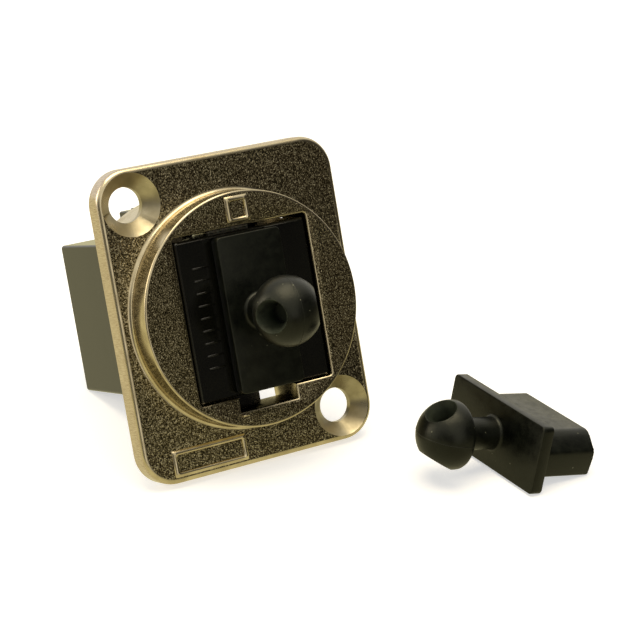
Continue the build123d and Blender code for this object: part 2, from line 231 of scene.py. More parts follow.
def makeCamera():
    azimuth, elevation = math.radians(view["azimuth"]), math.radians(view["elevation"])
    away = Vector((-math.sin(azimuth) * math.cos(elevation),
                   -math.cos(azimuth) * math.cos(elevation), math.sin(elevation)))
    data = bpy.data.cameras.new("camera")
    data.lens = view["lens"]
    data.clip_start = 0.01
    camera = bpy.data.objects.new("camera", data)
    bpy.context.scene.collection.objects.link(camera)
    camera.location = (Vector(view["aim"]) + away * view["distance"]) * mm
    turned = (-away).to_track_quat("-Z", "Y").to_matrix()
    camera.rotation_euler = (turned @ Matrix.Rotation(math.radians(view["roll"]), 3, "Z")).to_euler()
    bpy.context.scene.camera = camera
    bpy.context.scene.view_settings.view_transform = "Standard"


makeCamera()
print("camera is placed")


# materials
def setSockets(tree, node, values):
    # a node stands for its first output, a socket for itself, and the rest are plain values
    for socket, value in values.items():
        if isinstance(value, bpy.types.Node):
            value = value.outputs[0]
        if isinstance(value, bpy.types.NodeSocket):
            tree.links.new(value, node.inputs[socket])
        else:
            node.inputs[socket].default_value = value


def addNode(tree, kind, values, stops=(), **settings):
    # stops are the places along a colour ramp, each with its colour or its grey
    node = tree.nodes.new(kind)
    for name, value in settings.items():
        setattr(node, name, value)
    if stops:
        elements = node.color_ramp.elements
        while len(elements) < len(stops):
            elements.new(0.5)
        for element, (place, colour) in zip(elements, stops):
            element.position = place
            element.color = linearColour(colour) if isinstance(colour, str) else [colour] * 3 + [1.0]
    setSockets(tree, node, values)
    return node


def newMaterial(name, colour, **sockets):
    material = bpy.data.materials.new(name)
    material.use_nodes = True
    shader = material.node_tree.nodes["Principled BSDF"]
    shader.inputs["Base Color"].default_value = linearColour(colour)
    for socket, value in sockets.items():
        shader.inputs[socket.replace("_", " ")].default_value = value
    return material, material.node_tree, shader


def objectPlace(tree, grainLength=(1.0, 1.0, 1.0)):
    # Object coordinates, turned to the module's own axes and stretched along a grain
    place = addNode(tree, "ShaderNodeTexCoord", {})
    turned = addNode(tree, "ShaderNodeMapping",
                     {"Vector": place.outputs["Object"], "Rotation": (lean, 0, 0)}, vector_type="POINT")
    return addNode(tree, "ShaderNodeMapping",
                   {"Vector": turned, "Scale": [1 / length for length in grainLength]})


def perMetre(sizeInMm):
    return 1 / (sizeInMm * mm)


nickelLook = {
    "colour": "CDC0A2",
    "smear": "A89A7A",
    "smearSize": 1.6,         # mm
    "smoothRoughness": 0.2,
    "machinedAndShaded": ("B3A98E", "90866A"),
    "machinedRougher": 0.12,
    "roughSpread": (-0.05, 0.08),
    "ripple": 1.8,            # mm, slow waves of the die-cast skin under the plating
    "rippleDepth": 0.012,
    "grain": 0.13,            # mm across one pit of the spark-eroded skin
    "grainDepth": 0.046,
    "grainRoughness": 0.2,
    "grainPitShadeTones": [(0.37, "1F1A10"), (0.53, "7C7154"), (0.7, "E6DBBB")],
    "stroke": 0.1,            # mm between the linishing strokes on the trimmed edge
    "strokeLength": 9.0,
    "strokeDepth": 0.006,
    "strokeTones": [(0.35, "B6A596"), (0.65, "DACBBE")],
    "strokeShare": 0.7,
}


def nickelPlate(name, skin):
    # die-cast zinc under bright nickel: mirror-like where smooth, glittering where the die was
    # spark-eroded, finely scratched where the parting line was linished off, duller where cut
    look = nickelLook
    material, tree, shader = newMaterial(name, look["colour"], Metallic=1.0)
    place = objectPlace(tree)
    ripple = addNode(tree, "ShaderNodeTexNoise",
                     {"Vector": place, "Scale": perMetre(look["ripple"]), "Detail": 2.0})
    bump = addNode(tree, "ShaderNodeBump", {"Height": ripple, "Distance": look["rippleDepth"] * mm})
    if skin == "grained":
        pits = addNode(tree, "ShaderNodeTexNoise", {"Vector": place, "Scale": perMetre(look["grain"]),
                                                   "Detail": 2.0, "Roughness": 0.6})
        bump = addNode(tree, "ShaderNodeBump",
                       {"Height": pits, "Distance": look["grainDepth"] * mm, "Normal": bump})
        # painted shade and glint: the grain's pits are painted dark, and its peaks paler than the plain
        # plate
        colour = addNode(tree, "ShaderNodeValToRGB", {"Fac": pits}, stops=look["grainPitShadeTones"])
        rough = look["grainRoughness"]
    else:
        base = look["smoothRoughness"] + (look["machinedRougher"] if skin == "machinedAndShaded" else 0)
        low, high = look["roughSpread"]
        smear = addNode(tree, "ShaderNodeTexNoise",
                        {"Vector": place, "Scale": perMetre(look["smearSize"]), "Detail": 4.0})
        rough = addNode(tree, "ShaderNodeMapRange", {"Value": smear, "From Min": 0.35, "From Max": 0.65,
                                                    "To Min": base + low, "To Max": base + high})
        # the cut finish is darker and greyer than the plate: its darkness is painted shade in the
        # countersink cones
        tones = look["machinedAndShaded"] if skin == "machinedAndShaded" else (look["colour"], look["smear"])
        colour = addNode(tree, "ShaderNodeValToRGB", {"Fac": smear},
                         stops=[(0.35, tones[0]), (0.85, tones[1])])
    if skin == "linished":
        strokes = addNode(tree, "ShaderNodeTexNoise",
                          {"Vector": objectPlace(tree, (1.0, look["strokeLength"], 1.0)),
                           "Scale": perMetre(look["stroke"]), "Detail": 3.0, "Roughness": 0.6})
        bump = addNode(tree, "ShaderNodeBump",
                       {"Height": strokes, "Distance": look["strokeDepth"] * mm, "Normal": bump})
        worn = addNode(tree, "ShaderNodeValToRGB", {"Fac": strokes}, stops=look["strokeTones"])
        mixed = addNode(tree, "ShaderNodeMix", {"Factor": look["strokeShare"], "A": colour.outputs["Color"],
                                               "B": worn.outputs["Color"]}, data_type="RGBA")
        colour = mixed.outputs["Result"]
    setSockets(tree, shader, {"Base Color": colour, "Roughness": rough, "Normal": bump})
    return material


def paleKeyPaintedHighlight():
    # pale, dull and finely pitted: its pale tone is a painted highlight on the front of the latch key, deep
    # in the slot over the insert
    material, tree, shader = newMaterial("paleKeyPaintedHighlight", "D6CFB4", Metallic=0.15, Roughness=0.55)
    crystals = addNode(tree, "ShaderNodeTexNoise",
                       {"Vector": objectPlace(tree), "Scale": perMetre(0.2), "Detail": 3.0})
    tone = addNode(tree, "ShaderNodeValToRGB", {"Fac": crystals}, stops=[(0.35, "C4BB9C"), (0.65, "E2DCC6")])
    bump = addNode(tree, "ShaderNodeBump", {"Height": crystals, "Distance": 0.02 * mm})
    setSockets(tree, shader, {"Base Color": tone, "Normal": bump})
    return material


def glossBlackAbs():
    # injection-moulded ABS from a polished tool: near-mirror, with a faint slow orange peel
    material, tree, shader = newMaterial("glossBlackAbs", "0B0B07", Roughness=0.16)
    place = objectPlace(tree)
    peel = addNode(tree, "ShaderNodeTexNoise", {"Vector": place, "Scale": perMetre(1.4), "Detail": 2.0})
    bump = addNode(tree, "ShaderNodeBump", {"Height": peel, "Distance": 0.004 * mm})
    haze = addNode(tree, "ShaderNodeTexNoise", {"Vector": place, "Scale": perMetre(5.0), "Detail": 5.0})
    tone = addNode(tree, "ShaderNodeValToRGB", {"Fac": haze}, stops=[(0.35, "080805"), (0.7, "0F0F09")])
    setSockets(tree, shader, {"Base Color": tone, "Normal": bump})
    return material


rubberLook = {
    "specular": 0.37,
    "tint": "ECEEDC",
    "skin": 0.16,             # mm, the fine texture of the mould
    "skinDepth": 0.011,
    "dust": 1.1,              # mm across a patch of dust
    "clean": {"tones": ("040504", "10130D"), "roughness": 0.29},
    # painted light: the paler, rougher skin of the cord hole's inner wall
    "paintedLitHole": {"tones": ("1C2019", "31372B"), "roughness": 0.5},
    "roughSpread": 0.13,
    "lint": "5E5F4E",
    "lintPitch": 0.75,        # mm between places where a speck may lie
    "lintShare": 0.72,        # the part of those places that stays bare
    "lintReach": 0.13,
}


def blackRubber(name, state):
    # moulded TPE: soft sheen, a dusty skin and light specks of lint, paler in the cord hole as painted light
    # on its inner wall
    look = rubberLook
    material, tree, shader = newMaterial(name, "10110C", Roughness=0.38, Specular_IOR_Level=look["specular"],
                                         Specular_Tint=linearColour(look["tint"]))
    place = objectPlace(tree)
    skin = addNode(tree, "ShaderNodeTexNoise",
                   {"Vector": place, "Scale": perMetre(look["skin"]), "Detail": 3.0})
    bump = addNode(tree, "ShaderNodeBump", {"Height": skin, "Distance": look["skinDepth"] * mm})
    dust = addNode(tree, "ShaderNodeTexNoise", {"Vector": place, "Scale": perMetre(look["dust"]),
                                               "Detail": 8.0, "Roughness": 0.65})
    dark, pale = look[state]["tones"]
    film = addNode(tree, "ShaderNodeValToRGB", {"Fac": dust}, stops=[(0.36, dark), (0.7, pale)])
    low = look[state]["roughness"]
    rough = addNode(tree, "ShaderNodeValToRGB", {"Fac": dust},
                    stops=[(0.4, low), (0.7, low + look["roughSpread"])])
    specks = addNode(tree, "ShaderNodeTexVoronoi", {"Vector": place, "Scale": perMetre(look["lintPitch"])},
                     feature="F1")
    size = addNode(tree, "ShaderNodeSeparateXYZ", {"Vector": specks.outputs["Color"]})
    reach = addNode(tree, "ShaderNodeMapRange", {"Value": size, "From Min": look["lintShare"],
                                                "From Max": 1.0, "To Min": 0.0, "To Max": look["lintReach"]})
    lint = addNode(tree, "ShaderNodeMath", {0: specks, 1: reach}, operation="LESS_THAN")
    mixed = addNode(tree, "ShaderNodeMix", {"Factor": lint, "A": film, "B": linearColour(look["lint"])},
                    data_type="RGBA")
    setSockets(tree, shader, {"Base Color": mixed.outputs["Result"], "Roughness": rough, "Normal": bump})
    return material


def stampedSteel():
    # nickel-plated strip, cut and folded: rolled grain along its length, a little tarnish
    material, tree, shader = newMaterial("stampedSteel", "C9C5B8", Metallic=1.0)
    lines = addNode(tree, "ShaderNodeTexNoise", {"Vector": objectPlace(tree, (1.0, 14.0, 1.0)),
                                                "Scale": perMetre(0.12), "Detail": 3.0})
    bump = addNode(tree, "ShaderNodeBump", {"Height": lines, "Distance": 0.002 * mm})
    rough = addNode(tree, "ShaderNodeValToRGB", {"Fac": lines}, stops=[(0.3, 0.22), (0.7, 0.36)])
    tarnish = addNode(tree, "ShaderNodeTexNoise",
                      {"Vector": objectPlace(tree), "Scale": perMetre(2.5), "Detail": 4.0})
    tone = addNode(tree, "ShaderNodeValToRGB", {"Fac": tarnish}, stops=[(0.4, "CFCBBE"), (0.75, "A9A493")])
    setSockets(tree, shader, {"Base Color": tone, "Roughness": rough, "Normal": bump})
    return material


def glassFilledNylon():
    # moulded from a textured tool: dull black, with fibres that show as a fine pale streak
    material, tree, shader = newMaterial("glassFilledNylon", "161614", Roughness=0.55)
    flow = addNode(tree, "ShaderNodeTexNoise", {"Vector": objectPlace(tree, (1.0, 1.0, 5.0)),
                                               "Scale": perMetre(0.15), "Detail": 3.0})
    tone = addNode(tree, "ShaderNodeValToRGB", {"Fac": flow}, stops=[(0.45, "131311"), (0.75, "24241F")])
    bump = addNode(tree, "ShaderNodeBump", {"Height": flow, "Distance": 0.006 * mm})
    setSockets(tree, shader, {"Base Color": tone, "Normal": bump})
    return material


def goldFlash():
    # thin gold over stamped bronze: bright, with a redder tone where the flash is thin
    material, tree, shader = newMaterial("goldFlashedBronze", "E7C063", Metallic=1.0, Roughness=0.24)
    wear = addNode(tree, "ShaderNodeTexNoise", {"Vector": objectPlace(tree, (1.0, 3.0, 1.0)),
                                               "Scale": perMetre(0.5), "Detail": 4.0})
    tone = addNode(tree, "ShaderNodeValToRGB", {"Fac": wear}, stops=[(0.4, "E9C46A"), (0.75, "C08A4C")])
    rough = addNode(tree, "ShaderNodeValToRGB", {"Fac": wear}, stops=[(0.35, 0.18), (0.7, 0.34)])
    setSockets(tree, shader, {"Base Color": tone, "Roughness": rough})
    return material


def solderMask():
    # screen-printed green mask over glass-epoxy: glossy, with the weave just showing through
    material, tree, shader = newMaterial("greenSolderMask", "14502C", Roughness=0.28)
    weave = addNode(tree, "ShaderNodeTexWave",
                    {"Vector": objectPlace(tree), "Scale": perMetre(1.4), "Distortion": 0.6},
                    bands_direction="Z")
    threads = weave.outputs["Fac"]
    tone = addNode(tree, "ShaderNodeValToRGB", {"Fac": threads}, stops=[(0.2, "114526"), (0.9, "1A5E35")])
    bump = addNode(tree, "ShaderNodeBump", {"Height": threads, "Distance": 0.004 * mm})
    setSockets(tree, shader, {"Base Color": tone, "Normal": bump})
    return material


def reflowedSolder():
    # tin alloy that froze from liquid: bright, with shallow waves and a frosty patch here and there
    material, tree, shader = newMaterial("reflowedSolder", "CFCECB", Metallic=1.0, Roughness=0.25)
    waves = addNode(tree, "ShaderNodeTexNoise",
                    {"Vector": objectPlace(tree), "Scale": perMetre(0.4), "Detail": 3.0})
    rough = addNode(tree, "ShaderNodeValToRGB", {"Fac": waves}, stops=[(0.4, 0.16), (0.7, 0.42)])
    bump = addNode(tree, "ShaderNodeBump", {"Height": waves, "Distance": 0.02 * mm})
    setSockets(tree, shader, {"Roughness": rough, "Normal": bump})
    return material


finishes = {
    "black_moulding": glossBlackAbs(),
    "black_rubber": blackRubber("blackRubber", "clean"),
    "nickel_zinc": nickelPlate("smoothNickelPlate", "smooth"),
    "tinned_steel": stampedSteel(),
    "insulator_plastic": glassFilledNylon(),
    "contact_metal": goldFlash(),
    "board": solderMask(),
    "solder": reflowedSolder(),
}
# the frame's skins, in the order of its material slots
frameSkins = [
    finishes["nickel_zinc"],
    nickelPlate("sparkGrainedNickel", "grained"),
    nickelPlate("linishedNickel", "linished"),
    nickelPlate("machinedNickel", "machinedAndShaded"),
]
smoothSlot, grainedSlot, linishedSlot, machinedSlot = range(4)
# the plug's, likewise: plain outside, and paler in the cord hole, where the pale tone is painted light on
# its inner wall
plugSkins = [finishes["black_rubber"], blackRubber("paintedLitHoleRubber", "paintedLitHole")]
paintedLitHoleSlot = 1

for part in frame["record"]["subparts"]:
    node = nodes[part["node"]]
    node.data.materials.clear()
    node.data.materials.append(finishes[part["material_slot"]])
print("materials are on the CAD nodes")


def giveSkins(obj, skins):
    for skin in skins:
        obj.data.materials.append(skin)


def handOver(obj, body):
    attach(obj, body)


# the panel frame, modelled smooth over the same sizes as its solid
frameShape = {
    "width": 26.0, "height": 31.0, "thickness": 2.0, "corner": 3.4, "edgeRound": 0.475,
    "bossRadius": 11.6, "front": -5.1, "bossEdge": 0.2, "bossRoot": 0.4,
    "seatRadius": 12.0, "seatDepth": 0.2,
    "openingHalf": (7.35, 8.2), "openingCorner": 0.3,
    "notchHalf": 3.2, "notchDepth": 1.45,
    "guardBack": 10.5, "guardSunk": 0.1, "roomBack": 20.0,
    "channelHalf": 2.5, "channelTop": 10.3, "channelFront": -0.4,
    "ribFront": 9.15, "ribLow": 9.6,
    "lipFrom": 4.2, "lipFront": -0.7, "lipBack": -0.1,     # stops at the ends of the slot over the insert
    "lipLow": 7.81, "lipSunk": 0.1,
    "keyHalf": 2.25, "keyFront": -2.2, "keyLow": 7.92,
    "screwPlace": (9.5, 12.0), "screwRadius": 1.75, "sinkRadius": 3.1,
    "plainBand": 0.04,        # bare of grain inside each rounded edge
    "openingEdge": 0.16,      # the softening round the opening
    "openingTurn": 0.7,       # radians between two faces from which an edge there counts as sharp
}


def grainOnFront(obj, y, band):
    # a narrow plain band first, and the grained skin inside it
    pick(obj, "FACE", lambda face: face.normal.y < -0.99 and abs(middleOf(face).y - y) < close)
    bpy.ops.mesh.inset(thickness=band * mm, depth=0)
    paintPicked(obj, grainedSlot)


def makeFlange():
    s = frameShape
    halfW, halfH = s["width"] / 2, s["height"] / 2
    flange = addBox("die_cast_frame", (-halfW, -s["thickness"], -halfH), (halfW, 0, halfH))
    giveSkins(flange, frameSkins)
    roundEdges(flange, lambda edge: edgeAlong(edge, 1), s["corner"], 14)
    pick(flange, "FACE", lambda face: abs(face.normal.y) < 0.1)
    paintPicked(flange, linishedSlot)
    roundEdges(flange, edgeInFrontOf(-0.9 * s["thickness"]), s["edgeRound"], 5)
    grainOnFront(flange, -s["thickness"], s["plainBand"])
    combine(flange, addDisc("seat", s["seatRadius"], -s["seatDepth"], over), "DIFFERENCE")
    return flange


def makeBoss():
    s = frameShape
    radius, root, edge = s["bossRadius"], s["bossRoot"], s["bossEdge"]
    outline = [(radius + root, -s["thickness"] / 2)]
    outline += arc((radius + root, -s["thickness"] - root), root, 90, 180, 8)
    outline += arc((radius - edge, s["front"] + edge), edge, 0, -90, 5)
    boss = lathe("boss", outline, 128)
    giveSkins(boss, frameSkins[:2])
    grainOnFront(boss, s["front"], s["plainBand"])
    return boss


def makeGuard():
    s = frameShape
    halfX, halfZ = s["openingHalf"]
    guard = addDisc("guard", s["bossRadius"], -s["seatDepth"] - s["guardSunk"], s["guardBack"])
    room = addBox("guardRoom", (-halfX, -s["thickness"], halfZ - overlap),
                  (halfX, s["roomBack"], s["bossRadius"] + over))
    combine(guard, room, "INTERSECT")
    return guard


def cutOpening(flange):
    s = frameShape
    halfX, halfZ = s["openingHalf"]
    front, back, channel = s["front"] - over, s["guardBack"] + over, s["channelHalf"]
    opening = addBox("opening", (-halfX, front, -halfZ), (halfX, back, halfZ))
    roundEdges(opening, lambda edge: edgeAlong(edge, 1), s["openingCorner"], 4)
    combine(flange, opening, "DIFFERENCE")
    for name, low, high in (
            ("notch", (-s["notchHalf"], front, -halfZ - s["notchDepth"]), (s["notchHalf"], over, 0)),
            ("channel", (-channel, s["channelFront"], 0), (channel, s["ribFront"], s["channelTop"])),
            ("lowChannel", (-channel, s["ribFront"] - over, 0), (channel, back, s["ribLow"]))):
        combine(flange, addBox(name, low, high), "DIFFERENCE")


def addLipsAndKey(flange):
    s = frameShape
    halfX, halfZ = s["openingHalf"]
    top = halfZ + overlap
    for side in (-1, 1):
        near, far = sorted((side * s["lipFrom"], side * (halfX + s["lipSunk"])))
        combine(flange, addBox("lip", (near, s["lipFront"], s["lipLow"]), (far, s["lipBack"], top)), "UNION")
    key = addBox("key", (-s["keyHalf"], s["keyFront"], s["keyLow"]), (s["keyHalf"], s["channelFront"], top))
    combine(flange, key, "UNION")


def cutScrewHoles(flange):
    s = frameShape
    x, z = s["screwPlace"]
    thick, wide, narrow = s["thickness"], s["sinkRadius"], s["screwRadius"]
    deep = wide - narrow
    profile = [(wide, -thick - over), (wide, -thick), (narrow, deep - thick), (narrow, over)]
    for side in (-1, 1):
        cutter = lathe("screwHole", profile, 72)
        giveSkins(cutter, frameSkins)
        for cutFace in cutter.data.polygons:
            cutFace.material_index = machinedSlot
        move(cutter, shift(side * x, 0, -side * z))
        combine(flange, cutter, "DIFFERENCE")


def softenOpening(flange):
    s = frameShape
    halfX, halfZ = s["openingHalf"]
    reach = 0.05

    def onRim(edge):
        place = middleOf(edge)
        return (edge.calc_face_angle(0) > s["openingTurn"] and abs(place.y - s["front"]) < close
                and abs(place.x) < halfX + reach
                and -halfZ - s["notchDepth"] - reach < place.z < halfZ + reach)

    roundEdges(flange, onRim, s["openingEdge"], 3, smoothSlot)


def makeFrame():
    flange = makeFlange()
    combine(flange, makeBoss(), "UNION")
    combine(flange, makeGuard(), "UNION")
    cutOpening(flange)
    addLipsAndKey(flange)
    cutScrewHoles(flange)
    softenOpening(flange)
    smoothShade(flange, 35)
    move(flange, leanTurn)
    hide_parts("panel_frame")
    handOver(flange, "module")


makeFrame()


# raised borders on the front, left bare inside, and the small pip below the notch
frameTrim = {
    "rim": 0.5, "proud": 0.24, "sunk": 0.05, "softness": 0.21, "pipSoftness": 0.09,
    "borders": {
        "boss_border": {"low": (-1.2, 8.55), "high": (1.27, 11.1), "face": -5.1},
        "flange_border": {"low": (-9.9, -14.83), "high": (-1.8, -12.25), "face": -2.0},
    },
    "pip": {"low": (-3.15, -10.12), "high": (-2.45, -9.9), "face": -5.1},
}


def addTrim(name, spot):
    (x0, z0), (x1, z1) = spot["low"], spot["high"]
    front, back = spot["face"] - frameTrim["proud"], spot["face"] + frameTrim["sunk"]
    return addBox(name, (x0, front, z0), (x1, back, z1))


def finishTrim(obj, finish):
    smoothShade(obj, 50)
    obj.data.materials.clear()
    obj.data.materials.append(finish)
    move(obj, leanTurn)
    handOver(obj, "module")


def makeBorder(name, spot):
    t = frameTrim
    border = addTrim(name, spot)
    pick(border, "FACE", lambda face: abs(face.normal.y) > 0.9)
    bpy.ops.mesh.inset(thickness=t["rim"] * mm)
    bpy.ops.mesh.bridge_edge_loops()
    leaveEdit()
    roundEdges(border, edgeInFrontOf(spot["face"] - 0.9 * t["proud"]), t["softness"], 4)
    finishTrim(border, finishes["nickel_zinc"])


def makePip():
    spot = frameTrim["pip"]
    pip = addTrim("face_pip", spot)
    roundEdges(pip, edgeInFrontOf(spot["face"]), frameTrim["pipSoftness"], 3)
    finishTrim(pip, finishes["nickel_zinc"])


for borderName, borderSpot in frameTrim["borders"].items():
    makeBorder(borderName, borderSpot)
makePip()
print("panel frame is modelled")


# plain moulded ribs beside the plug, on the insert's face
faceRibs = {"count": 9, "pitch": 1.22, "x": (-5.75, -4.0), "thick": 0.17, "proud": 0.1, "face": -5.0,
            "softness": 0.04}


def makeFaceRibs():
    r = faceRibs
    left, right = r["x"]
    top = (r["count"] - 1) / 2 * r["pitch"]
    first = addBox("insert_face_ribs", (left, r["face"] - r["proud"], top),
                   (right, r["face"] + r["proud"], top + r["thick"]))
    roundEdges(first, edgeInFrontOf(r["face"]), r["softness"], 2)
    ribs = [first]
    for i in range(1, r["count"]):
        rib = copyOf(first, "rib")
        move(rib, shift(0, 0, -i * r["pitch"]))
        ribs.append(rib)
    bpy.ops.object.select_all(action="DESELECT")
    for rib in ribs:
        rib.select_set(True)
    bpy.context.view_layer.objects.active = first
    bpy.ops.object.join()
    finishTrim(first, finishes["black_moulding"])


makeFaceRibs()
print("face ribs are modelled")


# the pale front of the latch key, a pale plate whose tone is a painted highlight, and the two raised beads
# along the insert's top edge
edgeTrim = {
    "key": {"low": (-2.25, -2.4, 7.83), "high": (2.25, -2.1, 8.15)},
    "beads": [((-6.95, -5.13, 7.5), (-2.9, -4.95, 7.62)), ((2.6, -5.13, 7.5), (6.4, -4.95, 7.6))],
    "softness": 0.05,
}


def makeEdgeTrim():
    t = edgeTrim
    # painted highlight: a pale plate over the key's front, standing in for the light seen there
    key = addBox("latch_key_painted_highlight", t["key"]["low"], t["key"]["high"])
    key.data.materials.append(paleKeyPaintedHighlight())
    move(key, leanTurn)
    handOver(key, "module")
    for i, (low, high) in enumerate(t["beads"]):
        bead = addBox("insert_bead_" + str(i + 1), low, high)
        roundEdges(bead, edgeInFrontOf(low[1] + close), t["softness"], 3)
        finishTrim(bead, finishes["black_moulding"])


makeEdgeTrim()
print("edge trim is modelled")


# the rubber dust plug: flange, stepped body and a ball grip with a slanted cord hole
plugShape = {
    "flange": (6.95, 1.25, 15.3), "flangeCorner": 0.5, "flangeEdge": 0.1,
    "bodyFront": -0.5, "bodyDepth": 6.3, "bodyMiddle": (-0.47, 0.3), "bodyHalf": 6.88,
    "wideSide": (2.155, 6.58), "shoulder": (-0.93, 5.93), "narrowSide": (-2.155, 4.98),
    "bodyCorner": 0.26, "tipEdge": 0.22,
    "slotHalf": (1.075, 5.45), "slotFront": 1.8,
    "neckRadius": 1.62, "rootRadius": 1.98, "neckSunk": 0.3,
    "ballRadius": 3.43, "ballCentre": -6.35, "underside": 0.65,
    "rimSteps": ((0.3, 0.0), (0.11, 0.06)),            # in from the ball and forward, before it curves
    "ballFrom": -4, "ballTo": -87,                     # degrees: past the rim, and short of the pole
    "holeRadius": 1.02, "holeDepth": 3.6, "mouthRadius": 1.76, "mouthDepth": 1.83, "holeTurn": -56.0,
    "mouthPast": (0.8, 1.98),                          # the drill's cone runs on past the ball
    "mouthLip": 0.09, "lipTurn": 0.6, "lipBand": 0.03,
    "flatDistance": 2.9, "flatTurn": 65.0,
    "seamProud": 0.03, "seamRadius": 0.06, "seamGap": 0.15,
    "roomHalf": 5.0, "roomFront": -20.0,               # a box bigger than the ball
}


def pushFace(obj, side, x, scale):
    # draws one end face of the body further out along X and scales it
    pick(obj, "FACE", lambda face: face.normal.x * side > 0.9)
    mesh = bmesh.from_edit_mesh(obj.data)
    start = max(face.verts[0].co.x * side for face in mesh.faces if face.select) * side / mm
    bpy.ops.mesh.extrude_region_move(TRANSFORM_OT_translate={"value": ((x - start) * mm, 0, 0)})
    bpy.ops.transform.resize(value=(1, 1, scale))
    leaveEdit()


def makePlugBody():
    p = plugShape
    left, right = p["bodyMiddle"]
    half, depth = p["bodyHalf"], p["bodyDepth"]
    body = addBox("plugBody", (left, p["bodyFront"], -half), (right, depth, half))
    pushFace(body, 1, p["wideSide"][0], p["wideSide"][1] / half)
    pushFace(body, -1, p["shoulder"][0], p["shoulder"][1] / half)
    pushFace(body, -1, p["narrowSide"][0], p["narrowSide"][1] / p["shoulder"][1])
    outer = (left, p["wideSide"][0], p["narrowSide"][0])
    roundEdges(body, lambda edge: edgeAlong(edge, 1)
               and any(abs(middleOf(edge).x - x) < close for x in outer), p["bodyCorner"], 4)
    roundEdges(body, lambda edge: all(v.co.y > 0.999 * depth * mm for v in edge.verts)
               and len({face.normal.y > 0.9 for face in edge.link_faces}) == 2, p["tipEdge"], 3)
    return body


def turnGrip():
    p = plugShape
    front, middle = -p["flange"][1], p["ballCentre"]
    neck, root, ball = p["neckRadius"], p["rootRadius"], p["ballRadius"]
    blend = root - neck
    under = middle + p["underside"]
    rim = math.degrees(math.asin(p["underside"] / ball))
    profile = [(root, front + p["neckSunk"]), (root, front)]
    profile += arc((root, front - blend), blend, 90, 180, 5)[1:]
    profile += [(neck, under)] + [(ball - inward, under - forward) for inward, forward in p["rimSteps"]]
    profile += arc((0, middle), ball, rim + p["ballFrom"], p["ballTo"], 40)
    return lathe("plugGrip", profile, 96)


def makeGrip():
    p = plugShape
    grip = turnGrip()
    hole, mouth, ball, half = p["holeRadius"], p["mouthRadius"], p["ballRadius"], p["roomHalf"]
    wider, further = p["mouthPast"]
    drill = lathe("cordHole", [(hole, ball - p["holeDepth"]), (hole, p["mouthDepth"] - ball), (mouth, -ball),
                               (mouth + wider, -ball - further)], 48)
    giveSkins(grip, plugSkins)
    giveSkins(drill, plugSkins)
    for face in drill.data.polygons:
        face.material_index = paintedLitHoleSlot
    place = shift(0, p["ballCentre"], 0)
    move(drill, place @ turnAbout("Z", p["holeTurn"]))
    combine(grip, drill, "DIFFERENCE")
    centre = Vector((0, p["ballCentre"], 0))
    roundEdges(grip, lambda edge: edge.calc_face_angle(0) > p["lipTurn"]
               and abs((middleOf(edge) - centre).length - ball) < p["lipBand"], p["mouthLip"], 2, paintedLitHoleSlot)

    cut = addBox("flat", (-half, -p["flatDistance"] - half, -half), (half, -p["flatDistance"], half))
    move(cut, place @ turnAbout("Z", p["flatTurn"]))
    combine(grip, cut, "DIFFERENCE")
    return grip


def makeSeam():
    # the mould's parting line, round what is left of the ball
    p = plugShape
    middle, half = p["ballCentre"], p["roomHalf"]
    bpy.ops.object.select_all(action="DESELECT")
    bpy.ops.mesh.primitive_torus_add(
        major_radius=(p["ballRadius"] + p["seamProud"] - p["seamRadius"]) * mm,
        minor_radius=p["seamRadius"] * mm, major_segments=96, minor_segments=8,
        location=(0, middle * mm, 0), rotation=(0, math.pi / 2, 0))
    seam = bpy.context.object
    bpy.ops.object.transform_apply(location=True, rotation=True, scale=True)
    ballSide = addBox("ballSide", (-half, p["roomFront"], -half),
                      (half, middle + p["underside"] - p["seamGap"], half))
    combine(seam, ballSide, "INTERSECT")
    return seam


def makePlug():
    p = plugShape
    halfX, thick, halfZ = p["flange"][0] / 2, p["flange"][1], p["flange"][2] / 2
    slotX, slotZ = p["slotHalf"]
    plug = addBox("plug", (-halfX, -thick, -halfZ), (halfX, 0, halfZ))
    giveSkins(plug, plugSkins)
    roundEdges(plug, lambda edge: edgeAlong(edge, 1), p["flangeCorner"], 5)
    roundEdges(plug, edgeInFrontOf(-0.99 * thick), p["flangeEdge"], 3)
    roundEdges(plug, lambda edge: all(v.co.y > -close * mm for v in edge.verts), p["flangeEdge"], 2)
    combine(plug, makePlugBody(), "UNION")
    slot = addBox("slot", (-slotX, p["slotFront"], -slotZ), (slotX, p["bodyDepth"] + over, slotZ))
    combine(plug, slot, "DIFFERENCE")
    combine(plug, makeGrip(), "UNION")
    combine(plug, makeSeam(), "UNION")
    smoothShade(plug, 24)
    return plug


plugPlace = {
    "fitted": (0, -5.35, -0.12),       # the flange's back face, just proud of the insert
    "spare": (20.345, -18.4),
    "spareTurn": -0.5,
    "spareTilt": 11.83,                # it leans on its flange's long edge and the tip of its body
}


def placePlugs(plug):
    fitted = copyOf(plug, "dust_plug")
    move(fitted, leanTurn @ shift(*plugPlace["fitted"]))
    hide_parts("fitted_dust_plug")
    handOver(fitted, "front_dust_plug")

    x, y = plugPlace["spare"]
    tilt = plugPlace["spareTilt"]
    height = tableZ / mm + plugShape["flange"][0] / 2 * math.cos(math.radians(tilt))
    onSide = Matrix(((0, 1, 0, 0), (0, 0, -1, 0), (-1, 0, 0, 0), (0, 0, 0, 1)))
    plug.name = "loose_dust_plug"
    move(plug, shift(x, y, height) @ turnAbout("Z", plugPlace["spareTurn"]) @ turnAbout("Y", tilt) @ onSide)
    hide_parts("spare_dust_plug")
    handOver(plug, "spare_plug")


placePlugs(makePlug())
print("dust plugs are modelled")


